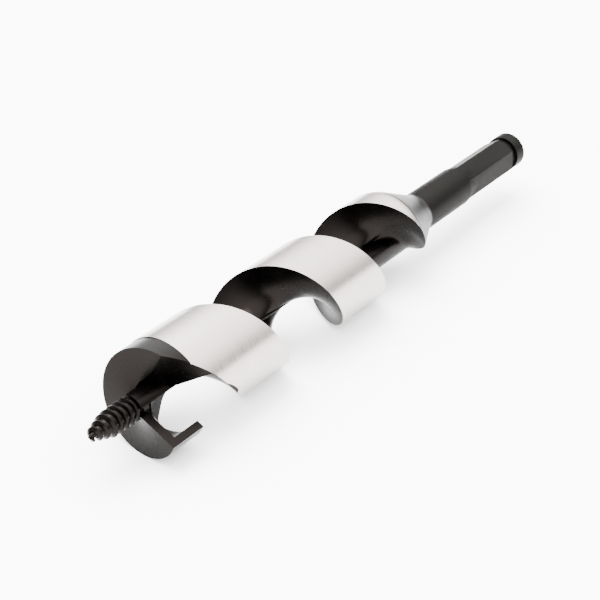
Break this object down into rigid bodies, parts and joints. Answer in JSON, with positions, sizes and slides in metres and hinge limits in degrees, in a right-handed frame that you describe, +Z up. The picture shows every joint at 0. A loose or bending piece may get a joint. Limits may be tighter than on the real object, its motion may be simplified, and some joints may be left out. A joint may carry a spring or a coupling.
{
  "type": "ship auger bit",
  "caption": "Auger bit for boring deep holes in timber, with a screw point, a cutting head, a twisted body with one deep flute, and a hexagonal shank.",
  "frame": {"origin": "centre of the shank's end face", "axes": "+X out of the shank's end along the bit's axis, so the screw point is at the negative end; +Z up with the bit lying on its side"},
  "size_m": [0.213, 0.0295, 0.0305],
  "materials": {
    "blackened_steel": "carbon steel, forged, blackened by heat treatment, with the outside of the twisted body ground bright"
  },
  "bodies": {
    "root": {"auger_bit": "blackened_steel"}
  },
  "joints": []
}
